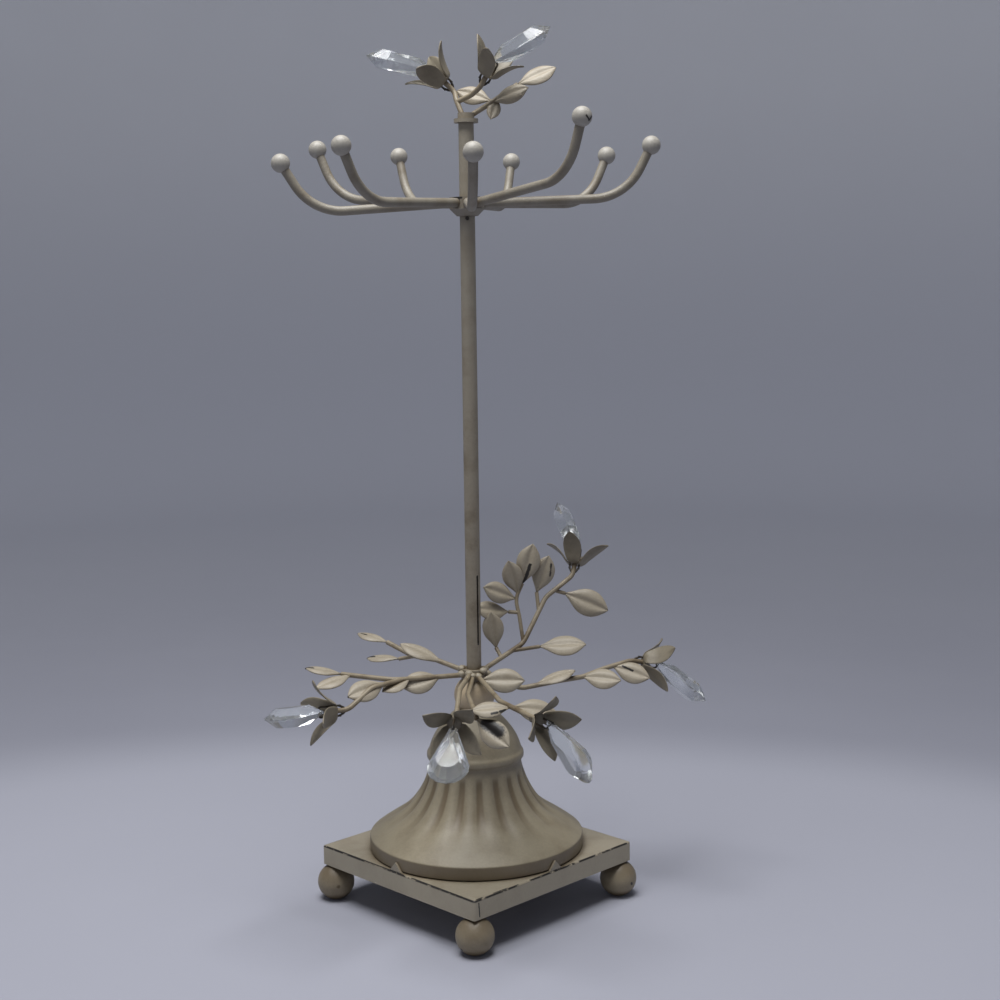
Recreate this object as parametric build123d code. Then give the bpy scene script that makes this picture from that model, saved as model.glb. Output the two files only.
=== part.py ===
from build123d import *
import math
import os

# Fits, in millimetres
slip = 0.05  # gap on the radius between a fixed piece and its hole
running_gap = 0.08  # gap on the radius between a turning piece and its pin
rest_gap = 0.3  # gap between a moving piece and what it rests on

# Base tray, folded from sheet, one corner to the front
plate_side = 120.0
plate_height = 10.4
plate_sheet = 1.2
plate_corner_radius = 1.6
plate_edge_radius = 0.9
tab_width = 9.0
tab_height = 5.0

# Ball feet and their studs
foot_diameter = 20.0
foot_flat_depth = 0.4
foot_corner_inset = 7.1  # from the tray's corner to the foot's axis, along the diagonal
stud_diameter = 5.0
stud_depth = 8.0  # how far the stud goes into the foot

# Fluted bell, heights above the tray
bell_rim_inset = 1.8  # from the tray's side to the bell's rim
bell_rim_height = 7.5
bell_shoulder_radius = 40.0
bell_shoulder_height = 20.0
bell_waist_radius = 25.0
bell_waist_height = 46.5
bell_bead_height = 7.5
bell_top_radius = 10.5
bell_height = 76.0
bell_wall = 3.0
cushion_crown = 0.9
flare_hollow = 2.6
bead_crown = 1.3
dome_crown = 3.2
flute_count = 18
flute_radius = 5.2
flute_depth = 1.5
flute_overrun = 6.2095  # how far past the shoulder a flute runs onto the cushion
flute_deepest = 0.45  # how far up the flare a flute is deepest
flute_turn = 15.0  # azimuth of the first flute

# Knob, pole and the rod that holds the column together
knob_diameter = 22.0
knob_seat_depth = 3.0  # how much of the ball is cut away below
knob_top_depth = 2.5  # how much of the ball is cut away above
pole_diameter = 8.0
pole_wall = 0.8
pole_length = 295.0
seam_width = 0.7
seam_start = 20.0  # above the pole's foot
seam_length = 37.0
seam_azimuth = -51.0
rod_diameter = 5.0
rod_reach = 20.0  # how far the rod goes up into the pole
insert_length = 25.0
washer_diameter = 13.0
washer_thickness = 1.0
nut_across_corners = 9.2
nut_thickness = 4.0

# Carousel: a turned hub on a cross pin, with nine bent arms
hub_height = 254.0  # from the pole's foot to the arms
hub_radius = 9.2
hub_thickness = 6.0
hub_cone_height = 3.6
hub_foot_radius = 5.6
pin_diameter = 2.0
pin_length = 11.0
arm_diameter = 4.8
arm_bend_radius = 28.0
arm_bend_angle = 62.0
arm_tip = 13.0  # from the end of the bend to the ball's centre
arm_ball_diameter = 9.8
arm_azimuths = (1, 36, 75, 116, 152, 187, 232, 273, 308)
arm_runs = (66, 64, 62, 62, 64, 63.5, 62.5, 62, 64.5)  # from the pole's axis to the start of the bend
arm_lifts = (1.5, 0.9, 0.7, 2.9, 3.7, -3.7, -1.5, -5.1, 6.8)  # degrees up from level, as bent by hand

# Cap on the pole
cap_diameter = 12.6
cap_thickness = 2.0
cap_boss_diameter = 8.6
cap_boss_height = 3.0
cap_plug_length = 8.0

# Sprays: wire, stamped leaves, sheet flowers and glass drops
collar_diameter = 13.8
collar_height = 6.0
wire_diameter = 2.7
twig_diameter = 2.1
wire_bend = 12.0
bend_share = 0.45  # part of a short run that a bend may take
stem_lead = 7.0  # straight end of a stem, square to its flower
leaf_length = 25.0
leaf_width = 15.0
leaf_sheet = 1.2
leaf_cup_radius = 15.0
leaf_stalk_width = 2.0
leaf_overlap = 0.8  # length of a leaf's stalk that is brazed on its wire
petal_length = 18.5  # from the edge of the flower's base to a petal's tip
petal_width = 11.0
cup_spare = 1.5  # how far the cup reaches past the petals that are cut from it
petal_flare = 2.2
petal_sheet = 0.8
flower_base_radius = 3.9
drop_length = 38.0
drop_width = 21.0
drop_thickness = 9.6
drop_top_width = 3.4
drop_table = 0.55  # size of the flat table facet against the outline
drop_table_place = 0.62  # where the table's centre lies along the drop
drop_facet_turn = 25.0  # turn between the facets of the round end
drop_hole_inset = 3.0
bail_wire = 1.0
bail_reach = 9.0  # from the flower's base to the drop's hole
bail_width = 5.4
bail_bend = 1.0
bail_tail = 3.0  # how far the wire ends stand out behind the flower

# Heights and radii that follow from the sizes above
plate_bottom = foot_diameter - foot_flat_depth
plate_top = plate_bottom + plate_height
knob_bottom = plate_top + bell_height
knob_centre = knob_bottom + knob_diameter / 2 - knob_seat_depth
pole_foot = knob_centre + knob_diameter / 2 - knob_top_depth
pole_top = pole_foot + pole_length
arm_level = pole_foot + hub_height
hub_bottom = arm_level - hub_thickness / 2 - hub_cone_height
pole_radius = pole_diameter / 2
pole_bore = pole_radius - pole_wall
foot_axis = plate_side / math.sqrt(2) - foot_corner_inset
bell_rim_radius = plate_side / 2 - bell_rim_inset

# Lower branches, from the foot of the pole. A wire starts in the collar at an azimuth and a height,
# then passes through its points. A twig starts on a wire. A leaf has its base, azimuth, elevation,
# the tilt of its face from up towards the front, and its size.
branches = {
    "left_back": {
        "wires": [((155, 4), (-21, 12, 8), (-34, 20, 8.5), (-49, 31, 14))],
        "twigs": [((-33, 19.4, 8.5), (-42, 22, 6.5))],
        "leaves": [
            ((-49, 31, 14), 155, 10, 2, 0.78),
            ((-42, 22, 6.5), 156, -4, 4, 0.82),
            ((-18, 10, 7.4), 164, 20, 8, 1.02),
        ],
    },
    "left": {
        "wires": [((204, 3), (-18, -8, 3.5), (-42, -18, 4.5), (-57, -13, 5), (-71, -8, 5.5))],
        "twigs": [],
        "leaves": [
            ((-71, -8, 5.5), 180, 10, 3, 0.8),
            ((-66, -10, 5.3), 212, -12, 10, 0.85),
            ((-18, -8, 3.5), 203, -9, 55, 0.9),
            ((-34, -14.7, 4.2), 216, -14, 25, 0.72),
            ((-47, -23.5, 4.2), 216, -10, 50, 0.92),
        ],
    },
    "front": {
        "wires": [((-95, 3), (-3, -28, -1.5), (0, -44, -4), (2, -50, -8.5))],
        "twigs": [],
        "leaves": [((2, -50, -8.5), -37, -29, 75, 0.95)],
    },
    "front_right": {
        "wires": [],
        "twigs": [],
        "leaves": [
            ((20, -53, -1.8), 5, -10, 45, 0.95),
            ((19, -49.8, -2.9), 184, -3, 30, 0.8),
            ((3.7, -10.1, 1.7), -4, 0, 60, 0.95),
        ],
    },
    "right": {
        "wires": [],
        "twigs": [],
        "leaves": [
            ((33, -2.5, -3.3), 15, 16, 5, 0.95),
            ((59, 4, -0.5), -14, -3, 50, 0.85),
            ((76, 12.3, 3), -12, -16, 55, 0.85),
        ],
    },
    "tall": {
        "wires": [],
        "twigs": [
            ((27, 23, 15.5), (25, 26, 29.5), (23, 28, 38.5), (27, 31, 46.5)),
            ((24.6, 26.4, 31), (19, 26, 31.5)),
            ((36, 32, 30.6), (35, 36, 40.5)),
            ((15, 11.7, 8.6), (12, 16, 13.5)),
            ((21, 17, 11.5), (36, 22, 12.5)),
            ((44, 39.6, 41), (51, 42, 38.5)),
        ],
        "leaves": [
            ((51, 42, 38.5), -5, -22, 75, 1.06),
            ((36, 22, 12.5), 0, 2, 34, 1.04),
            ((27, 31, 46.5), 20, 73, 90, 0.92),
            ((35, 36, 40.5), 0, 71, 90, 0.88),
            ((24.4, 29, 41), 200, 74, 80, 0.8),
            ((23, 28, 38.5), 205, 23, 60, 0.85),
            ((19, 26, 31.5), 208, 10, 50, 0.85),
            ((12, 16, 13.5), 170, 82, 85, 0.82),
        ],
    },
}

# Stems of the top spray, from the top of the pole, written as the branches are
top_wires = [((1.5, 0, 3), (14, 0, 10.5), (27, 4, 19.5))]
top_twigs = [((14, 0, 10.5), (13, 6, 11.5))]
top_leaf_rows = [
    ((14, 0, 10.5), -13, 19, 55, 0.8),
    ((27, 4, 19.5), 6, 23, 45, 0.88),
    ((16.5, 0.8, 12.2), 230, -62, 80, 0.5),
    ((13, 6, 11.5), 160, 18, 60, 0.8),
]

# Flowers: base, the azimuth and elevation that the cup faces, how far its petals open from its axis and how
# far they are turned about it, how far its drop leans out of the cup and which way round the cup from up,
# the turn of the drop about its own length, and the stem's way from the branch's foot or from a wire's point
flowers = {
    "left": {
        "base": (-71, -44, -5), "faces": (206, 2), "open": 48, "petals": 30,
        "lean": 26, "way": -80, "turn": 1,
        "stem": ((-38, -16.4, 4.3), (-53, -30, 3.5)), "branch": "left",
    },
    "front": {
        "base": (-9, -62, -7.5), "faces": (-95, -12), "open": 50, "petals": 8,
        "lean": 17, "way": 180, "turn": 90,
        "stem": ((-112, 4), (-7, -34, 3)), "branch": "front",
    },
    "front_right": {
        "base": (33, -72, -3.5), "faces": (-50, -8), "open": 48, "petals": 33,
        "lean": 30, "way": -173, "turn": 12,
        "stem": ((-70, 3), (14, -40, -2)), "branch": "front_right",
    },
    "right": {
        "base": (93, 18, 4), "faces": (11, -10), "open": 48, "petals": 11,
        "lean": 31, "way": 180, "turn": 80,
        "stem": ((-10, 3), (25, -4, -4.5), (46, 0, -1.5), (59, 4, -0.5), (71, 10, 2.5)),
        "branch": "right",
    },
    "tall": {
        "base": (57, 49, 54), "faces": (72, 57), "open": 52, "petals": 36,
        "lean": 32, "way": -111, "turn": 115,
        "stem": ((35, 4), (27, 22, 14.5), (40, 36, 37.5)), "branch": "tall",
    },
    "top_left": {
        "base": (-11, 8, 21.5), "faces": (186, 42), "open": 38, "petals": 28,
        "lean": 29, "way": 168, "turn": 94,
        "stem": ((-1.5, 0, 3), (-5, 4, 12)), "branch": "top",
    },
    "top_right": {
        "base": (11, -6, 23), "faces": (-30, 55), "open": 40, "petals": 24,
        "lean": 34, "way": 173, "turn": 119,
        "stem": ((-4.6, 3.6, 11), (3, 0, 14)), "branch": "top",
    },
}


def direction(azimuth, elevation):
    """Unit vector; azimuth 0 is +X and 90 is +Y, elevation is up from level."""
    level = math.cos(math.radians(elevation))
    turn = math.radians(azimuth)
    return Vector(level * math.cos(turn), level * math.sin(turn), math.sin(math.radians(elevation)))


def cylinder_at(radius, low, high):
    """Upright cylinder on the pole's axis between two heights."""
    return Pos(0, 0, (low + high) / 2) * Cylinder(radius, high - low)


def bent_wire(points, diameter):
    """Round wire along straight runs joined by bends as large as the runs allow."""
    points = [Vector(*p) for p in points]
    if len(points) == 2:
        path = Line(*points)
    else:
        radii = []
        for before, corner, after in zip(points, points[1:], points[2:]):
            shorter = min((corner - before).length, (after - corner).length)
            half_turn = math.radians((corner - before).get_angle(after - corner)) / 2
            radii.append(min(wire_bend, bend_share * shorter / math.tan(half_turn)))
        path = FilletPolyline(*points, radius=radii)
    return sweep(Plane(origin=path @ 0, z_dir=path % 0) * Circle(diameter / 2), path=path)


def largest_solid(shape):
    return max(shape.solids(), key=lambda solid: solid.volume)


# Base tray
def make_base_plate():
    outer = Pos(0, 0, plate_bottom + plate_height / 2) * Box(plate_side, plate_side, plate_height)
    outer = fillet(outer.edges().filter_by(Axis.Z), plate_corner_radius)
    outer = fillet(outer.faces().sort_by(Axis.Z)[-1].edges(), plate_edge_radius)
    room = plate_side - 2 * plate_sheet
    depth = plate_height - plate_sheet
    inner = Pos(0, 0, plate_bottom + depth / 2) * Box(room, room, depth)
    tray = outer - inner - cylinder_at(rod_diameter / 2 + slip, plate_bottom, plate_top)
    triangle = Polygon((-tab_width / 2, 0), (tab_width / 2, 0), (0, tab_height), align=None)
    tab = extrude(Plane.XZ * triangle, plate_sheet)
    tab_back = bell_rim_radius + slip + plate_sheet
    for quarter in range(4):
        tray += Rot(0, 0, 90 * quarter) * Pos(0, tab_back, plate_top) * tab
    return Rot(0, 0, 45) * tray


# Ball feet under the tray's corners, flat where they stand
def make_foot(azimuth):
    ball = Pos(0, 0, foot_diameter / 2 - foot_flat_depth) * Sphere(foot_diameter / 2)
    ball &= Pos(0, 0, foot_diameter / 2) * Box(foot_diameter, foot_diameter, foot_diameter)
    ball -= cylinder_at(stud_diameter / 2 + slip, plate_bottom - stud_depth, plate_bottom)
    return Rot(0, 0, azimuth) * Pos(foot_axis, 0, 0) * ball


def make_foot_studs():
    stud = cylinder_at(stud_diameter / 2, plate_bottom - stud_depth, plate_top - plate_sheet)
    return Compound(children=[Rot(0, 0, 90 * n) * Pos(foot_axis, 0, 0) * stud for n in range(4)])


# Fluted bell, turned about the pole's axis
def make_bell():
    rim_foot = (bell_rim_radius, 0)
    rim_top = (bell_rim_radius, bell_rim_height)
    shoulder = (bell_shoulder_radius, bell_shoulder_height)
    waist = (bell_waist_radius, bell_waist_height)
    bead_end = (bell_waist_radius, bell_waist_height + bell_bead_height)
    dome_end = (bell_top_radius, bell_height)
    cushion = SagittaArc(rim_top, shoulder, -cushion_crown)
    flare = SagittaArc(shoulder, waist, flare_hollow)
    bead = SagittaArc(waist, bead_end, -bead_crown)
    dome = SagittaArc(bead_end, dome_end, -dome_crown)
    rim = Polyline((0, 0), rim_foot, rim_top)
    top = Polyline(dome_end, (0, bell_height), (0, 0))
    bell = revolve(Plane.XZ * make_face([*rim.edges(), cushion, flare, bead, dome, *top.edges()]), Axis.Z)
    bell = offset(bell, -bell_wall, openings=bell.faces().sort_by(Axis.Z)[0], kind=Kind.INTERSECTION)
    # Each flute is a ring-shaped cut that runs out on the cushion and at the waist
    run_out = cushion @ (1 - flute_overrun / cushion.length)
    middle = flare @ flute_deepest
    along = flare % flute_deepest
    deepest = middle + Vector(-along.Y, along.X) * flute_depth
    groove = ThreePointArc(run_out, deepest, waist)
    centre = groove.arc_center
    ring = Pos(centre.X, 0, centre.Y) * Rot(90, 0, 0) * Torus(groove.radius - flute_radius, flute_radius)
    below_waist = Pos(bell_rim_radius / 2, 0, bell_waist_height / 2)
    ring &= below_waist * Box(bell_rim_radius, 4 * flute_radius, bell_waist_height)
    bell -= [Rot(0, 0, flute_turn + n * 360 / flute_count) * ring for n in range(flute_count)]
    bell = Pos(0, 0, plate_top) * bell
    return bell - cylinder_at(rod_diameter / 2 + slip, plate_top, knob_bottom)


# Knob, pole and the rod that draws them down onto the bell and the tray
def make_knob():
    ball = Pos(0, 0, knob_centre) * Sphere(knob_diameter / 2)
    ball &= cylinder_at(knob_diameter, knob_bottom, pole_foot)
    return ball - cylinder_at(rod_diameter / 2 + slip, knob_bottom, pole_foot)


def make_pole():
    tube = cylinder_at(pole_radius, pole_foot, pole_top) - cylinder_at(pole_bore, pole_foot, pole_top)
    slit = Pos(pole_radius, 0, pole_foot + seam_start + seam_length / 2)
    slit *= Box(2 * pole_wall + seam_width, seam_width, seam_length)
    tube -= Rot(0, 0, seam_azimuth) * slit
    pin_height = hub_bottom - rest_gap - pin_diameter / 2
    return tube - Pos(0, 0, pin_height) * Rot(90, 0, 0) * Cylinder(pin_diameter / 2 + slip, pole_diameter * 2)


def make_tie_rod():
    low = plate_top - plate_sheet - washer_thickness - 2 * nut_thickness
    return cylinder_at(rod_diameter / 2, low, pole_foot + rod_reach)


def make_pole_insert():
    plug = cylinder_at(pole_bore - slip, pole_foot, pole_foot + insert_length)
    return plug - cylinder_at(rod_diameter / 2 + slip, pole_foot, pole_foot + insert_length)


def make_base_washer():
    top = plate_top - plate_sheet
    ring = cylinder_at(washer_diameter / 2, top - washer_thickness, top)
    return ring - cylinder_at(rod_diameter / 2 + slip, top - washer_thickness, top)


def make_base_nut():
    top = plate_top - plate_sheet - washer_thickness
    hexagon = RegularPolygon(nut_across_corners / 2, 6)
    nut = Pos(0, 0, top - nut_thickness) * extrude(hexagon, nut_thickness)
    return nut - cylinder_at(rod_diameter / 2 + slip, top - nut_thickness, top)


# Carousel
def make_hub():
    low = arm_level - hub_thickness / 2
    disc = cylinder_at(hub_radius, low, low + hub_thickness)
    cone = Pos(0, 0, low - hub_cone_height / 2) * Cone(hub_foot_radius, hub_radius, hub_cone_height)
    return disc + cone - cylinder_at(pole_radius + running_gap, hub_bottom, low + hub_thickness)


def make_hub_pin():
    pin_height = hub_bottom - rest_gap - pin_diameter / 2
    return Pos(0, 0, pin_height) * Rot(90, 0, 0) * Cylinder(pin_diameter / 2, pin_length)


def arm_place(number):
    """Where an arm leaves the hub: turned to its azimuth and lifted about the hub's rim."""
    rim = Pos(hub_radius, 0, 0) * Rot(0, -arm_lifts[number], 0) * Pos(-hub_radius, 0, 0)
    return Pos(0, 0, arm_level) * Rot(0, 0, arm_azimuths[number]) * rim


def arm_end(number):
    """Centre of an arm's ball in the arm's own upright plane."""
    bend = math.radians(arm_bend_angle)
    bend_end = Vector(math.sin(bend), 0, 1 - math.cos(bend)) * arm_bend_radius
    tip = Vector(math.cos(bend), 0, math.sin(bend)) * arm_tip
    return Vector(arm_runs[number], 0, 0) + bend_end + tip


def make_arm(number, hub):
    ball_centre = arm_end(number)
    start = hub_radius - arm_diameter / 2
    run = Line((start, 0, 0), (arm_runs[number], 0, 0))
    bend = Plane.XZ * JernArc((arm_runs[number], 0), (1, 0), arm_bend_radius, arm_bend_angle)
    tip = Line(bend @ 1, ball_centre)
    section = Plane.YZ * Pos(0, 0, start) * Circle(arm_diameter / 2)
    rod = sweep(section, path=run + bend + tip)
    rod -= Pos(ball_centre) * Sphere(arm_ball_diameter / 2)
    return largest_solid(arm_place(number) * rod - hub)


def make_arm_balls():
    ball = Sphere(arm_ball_diameter / 2)
    places = [arm_place(number) * Pos(arm_end(number)) for number in range(len(arm_azimuths))]
    return Compound(children=[place * ball for place in places])


# Cap on the pole
def make_cap():
    cap = cylinder_at(cap_diameter / 2, pole_top, pole_top + cap_thickness)
    cap += cylinder_at(cap_boss_diameter / 2, pole_top, pole_top + cap_thickness + cap_boss_height)
    return cap + cylinder_at(pole_bore - slip, pole_top - cap_plug_length, pole_top)


# Branches and stems
def make_collar():
    ring = cylinder_at(collar_diameter / 2, pole_foot, pole_foot + collar_height)
    return ring - cylinder_at(pole_radius + slip, pole_foot, pole_foot + collar_height)


def spray_root(branch):
    """Origin of a spray: the top of the pole, or its foot."""
    return Vector(0, 0, pole_top if branch == "top" else pole_foot)


def way(branch, points):
    """A wire's points in place; a first point of an azimuth and a height lies within the collar."""
    first = points[0]
    if len(first) == 2:
        azimuth, height = first
        first = direction(azimuth, 0) * ((pole_radius + collar_diameter / 2) / 2) + Vector(0, 0, height)
    return [spray_root(branch) + Vector(*first)] + [spray_root(branch) + Vector(*p) for p in points[1:]]


def flower_frame(name):
    """A flower's base, the way its cup faces, the way its drop hangs and the axis of the drop's hole."""
    flower = flowers[name]
    base = spray_root(flower["branch"]) + Vector(*flower["base"])
    azimuth, elevation = flower["faces"]
    faces = direction(azimuth, elevation)
    upright = direction(azimuth, elevation + 90)
    sideways = upright.rotate(Axis((0, 0, 0), tuple(faces)), flower["way"] + 90)
    drop = faces.rotate(Axis((0, 0, 0), tuple(sideways)), flower["lean"])
    hole = sideways.rotate(Axis((0, 0, 0), tuple(drop)), flower["turn"])
    return base, faces, drop, hole


def make_branch(branch, wires, twigs, holder):
    rods = [bent_wire(way(branch, points), wire_diameter) for points in wires]
    rods += [bent_wire(way(branch, points), twig_diameter) for points in twigs]
    for name, flower in flowers.items():
        if flower["branch"] == branch:
            base, faces, drop, hole = flower_frame(name)
            stem = way(branch, flower["stem"]) + [base - faces * stem_lead, base]
            rods.append(bent_wire(stem, wire_diameter))
    fused = rods[0].fuse(*rods[1:]) if len(rods) > 1 else rods[0]
    return fused - holder


# Stamped leaves
def make_leaf(branch, row, carrier):
    base, azimuth, elevation, tilt, size = row
    length = leaf_length * size
    half_width = leaf_width * size / 2
    stalk = leaf_stalk_width / 2
    start = -leaf_overlap
    outline = make_face([
        Line((start, -stalk), (start, stalk)),
        ThreePointArc((start, stalk), (length * 0.5, half_width), (length, 0)),
        ThreePointArc((length, 0), (length * 0.5, -half_width), (start, -stalk)),
    ])
    block = extrude(outline, leaf_cup_radius / 2, both=True)
    along = Pos(length / 2, 0, leaf_cup_radius) * Rot(0, 90, 0)
    shell = along * Cylinder(leaf_cup_radius + leaf_sheet / 2, 2 * leaf_length)
    shell -= along * Cylinder(leaf_cup_radius - leaf_sheet / 2, 2 * leaf_length)
    heading = direction(azimuth, elevation)
    face_up = direction(-90, 90 - tilt)
    face_up = face_up - heading * face_up.dot(heading)
    place = Plane(origin=spray_root(branch) + Vector(*base), x_dir=heading, z_dir=face_up)
    return largest_solid(place.location * (block & shell) - carrier)


def make_leaves(branch, rows, carrier):
    return Compound(children=[make_leaf(branch, row, carrier) for row in rows])


# Flowers: one cross-shaped sheet with its four petals bent up
def bail_points(name):
    """Corners of a bail: its tails behind the flower and the ends of the bar through the drop's hole."""
    base, faces, drop, hole = flower_frame(name)
    across = (hole - faces * hole.dot(faces)).normalized() * (bail_width / 2)
    bar = hole * (bail_width / 2)
    eye = base + faces * bail_reach
    tail = base - faces * bail_tail
    return tail + across, eye + bar, eye - bar, tail - across


def make_flower(name):
    base, faces, drop, hole = flower_frame(name)
    opening = math.radians(flowers[name]["open"])
    petal_reach = flower_base_radius + petal_length * math.sin(opening)
    cup_side = petal_length + cup_spare
    tip = Vector(flower_base_radius + cup_side * math.sin(opening), cup_side * math.cos(opening))
    outside = SagittaArc((flower_base_radius, 0), tip, petal_flare)
    centre = outside.arc_center
    inner_radius = outside.radius + petal_sheet
    inner_tip = centre + (tip - centre).normalized() * inner_radius
    inner_foot = Vector(centre.X - math.sqrt(inner_radius**2 - (petal_sheet - centre.Y) ** 2), petal_sheet)
    inner_middle = (inner_tip + inner_foot) * 0.5 - centre
    inside = ThreePointArc(inner_tip, centre + inner_middle.normalized() * inner_radius, inner_foot)
    rim = Line(tip, inner_tip)
    floor = Polyline(inner_foot, (0, petal_sheet), (0, 0), (flower_base_radius, 0))
    cup = revolve(Plane.XZ * make_face([outside, rim, inside, *floor.edges()]), Axis.Z)
    half = petal_width / 2
    petal = make_face([
        ThreePointArc((0, 0), (petal_reach / 2, half), (petal_reach, 0)),
        ThreePointArc((petal_reach, 0), (petal_reach / 2, -half), (0, 0)),
    ])
    cross = Circle(flower_base_radius)
    for quarter in range(4):
        cross += Rot(0, 0, 90 * quarter + 45 + flowers[name]["petals"]) * petal
    cup &= extrude(cross, 2 * petal_length)
    side = Plane(origin=base, x_dir=hole - faces * hole.dot(faces), z_dir=faces)
    flower = side.location * cup
    tail, eye, far_eye, far_tail = bail_points(name)
    for foot, top in ((tail, eye), (far_tail, far_eye)):
        bore = extrude(Circle(bail_wire / 2 + slip), 2 * bail_tail)
        flower -= Plane(origin=foot, z_dir=top - foot).location * bore
    return flower


# Glass drops on wire bails
def make_drop(name):
    base, faces, drop, hole = flower_frame(name)
    round_centre = drop_length - drop_width / 2
    outline = [(0, -drop_top_width / 2), (0, drop_top_width / 2)]
    for step in range(4, -5, -1):
        turn = math.radians(drop_facet_turn * step)
        outline.append((round_centre + drop_width / 2 * math.cos(turn), drop_width / 2 * math.sin(turn)))
    girdle = Polygon(*outline, align=None)
    table_centre = drop_length * drop_table_place
    table = Pos(table_centre * (1 - drop_table), 0, drop_thickness / 2) * scale(girdle, drop_table)
    upper = loft([girdle, table], ruled=True)
    glass = upper + mirror(upper, Plane.XY)
    glass -= Pos(drop_hole_inset, 0, 0) * Cylinder(bail_wire / 2 + running_gap, drop_thickness)
    top = base + faces * bail_reach - drop * drop_hole_inset
    return Plane(origin=top, x_dir=drop, z_dir=hole).location * glass


def make_bail(name):
    path = FilletPolyline(*bail_points(name), radius=bail_bend)
    return sweep(Plane(origin=path @ 0, z_dir=path % 0) * Circle(bail_wire / 2), path=path)


os.makedirs("parts", exist_ok=True)
parts = {
    "base_plate": make_base_plate(),
    "foot_right": make_foot(0),
    "foot_back": make_foot(90),
    "foot_left": make_foot(180),
    "foot_front": make_foot(270),
    "foot_studs": make_foot_studs(),
    "bell_pedestal": make_bell(),
    "neck_ball": make_knob(),
    "pole": make_pole(),
    "pole_insert": make_pole_insert(),
    "tie_rod": make_tie_rod(),
    "base_washer": make_base_washer(),
    "base_nut": make_base_nut(),
    "hub": make_hub(),
    "hub_pin": make_hub_pin(),
    "arm_balls": make_arm_balls(),
    "top_cap": make_cap(),
    "spray_collar": make_collar(),
}
for number in range(len(arm_azimuths)):
    parts[f"arm_{number + 1}"] = make_arm(number, parts["hub"])
for branch, rows in branches.items():
    wire = make_branch(branch, rows["wires"], rows["twigs"], parts["spray_collar"])
    parts[f"branch_{branch}"] = wire
    if rows["leaves"]:
        parts[f"leaves_{branch}"] = make_leaves(branch, rows["leaves"], wire + parts["spray_collar"])
parts["top_stems"] = make_branch("top", top_wires, top_twigs, parts["top_cap"])
parts["top_leaves"] = make_leaves("top", top_leaf_rows, parts["top_stems"])
for name in flowers:
    parts[f"flower_{name}"] = make_flower(name)
    parts[f"crystal_{name}"] = make_drop(name)
parts["drop_wires"] = Compound(children=[make_bail(name) for name in flowers])

for name, shape in parts.items():
    export_step(shape, f"parts/{name}.step")
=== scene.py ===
import math

import bmesh
import bpy
from mathutils import Matrix, Quaternion, Vector


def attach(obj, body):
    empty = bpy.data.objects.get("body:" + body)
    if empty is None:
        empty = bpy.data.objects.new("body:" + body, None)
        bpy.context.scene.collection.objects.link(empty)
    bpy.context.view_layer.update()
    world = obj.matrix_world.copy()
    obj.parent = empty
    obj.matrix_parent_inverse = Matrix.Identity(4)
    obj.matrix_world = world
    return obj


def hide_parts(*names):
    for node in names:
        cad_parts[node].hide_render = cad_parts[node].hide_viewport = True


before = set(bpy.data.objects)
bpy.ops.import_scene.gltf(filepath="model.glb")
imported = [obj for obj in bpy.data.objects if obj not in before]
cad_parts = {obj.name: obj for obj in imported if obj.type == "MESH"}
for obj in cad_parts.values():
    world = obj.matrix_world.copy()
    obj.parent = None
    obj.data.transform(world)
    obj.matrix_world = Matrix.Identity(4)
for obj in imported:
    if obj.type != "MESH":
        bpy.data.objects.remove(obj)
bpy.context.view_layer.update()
bpy.context.scene.view_settings.view_transform = "Standard"

# Base tray: a square of sheet iron with its four sides folded down, sprayed ivory over dark primer and
# rubbed with brown wax. The paint is chipped along the folds, and four cut tabs stand up round the bell.
ivory = (0.315, 0.277, 0.209, 1)
brown_wax = (0.115, 0.08, 0.042, 1)
# Black of bare iron where the paint is chipped, also used for painted shade in gaps, slits and hollows.
bare_iron_and_shade = (0.012, 0.010, 0.009, 1)


def put(tree, kind, sockets=(), **settings):
    """Adds a shader node; a socket is given a number, a colour or the socket that feeds it."""
    node = tree.nodes.new("ShaderNode" + kind)
    for name, value in settings.items():
        setattr(node, name, value)
    for socket, value in dict(sockets).items():
        if isinstance(value, bpy.types.NodeSocket):
            tree.links.new(value, node.inputs[socket])
        else:
            node.inputs[socket].default_value = value
    return node


def math_node(tree, operation, first, second=0.0, clamp=False):
    """One sum in a shader, and the socket that holds its result."""
    return put(tree, "Math", {0: first, 1: second}, operation=operation, use_clamp=clamp).outputs[0]


def ramp(tree, value, low, high):
    """0 at low, 1 at high, and smooth between them."""
    sockets = {"Value": value, "From Min": low, "From Max": high}
    return put(tree, "MapRange", sockets, interpolation_type="SMOOTHSTEP").outputs["Result"]


def mix(tree, amount, first, second, blend="MIX"):
    """The first colour with the second over it, by the amount."""
    sockets = {0: amount, 6: first, 7: second}
    return put(tree, "Mix", sockets, data_type="RGBA", blend_type=blend).outputs[2]


worn = bpy.data.node_groups.new("worn_paint", "ShaderNodeTree")
for label, socket_type, start in (
    ("Paint", "NodeSocketColor", ivory),
    ("Wax", "NodeSocketColor", brown_wax),
    ("Bare", "NodeSocketColor", bare_iron_and_shade),
    ("Patches", "NodeSocketFloat", 0.3),
    ("Recess", "NodeSocketFloat", 0.6),
    ("Chips", "NodeSocketFloat", 0.3),
):
    worn.interface.new_socket(label, in_out="INPUT", socket_type=socket_type).default_value = start
worn.interface.new_socket("Color", in_out="OUTPUT", socket_type="NodeSocketColor")
worn.interface.new_socket("Roughness", in_out="OUTPUT", socket_type="NodeSocketFloat")
worn.interface.new_socket("Height", in_out="OUTPUT", socket_type="NodeSocketFloat")
given = worn.nodes.new("NodeGroupInput").outputs
place = put(worn, "TexCoord").outputs["Object"]
patch = put(worn, "TexNoise", {"Vector": place, "Scale": 75, "Detail": 5, "Roughness": 0.6}).outputs[0]
grain = put(worn, "TexNoise", {"Vector": place, "Scale": 700, "Detail": 4, "Roughness": 0.65}).outputs[0]
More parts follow.
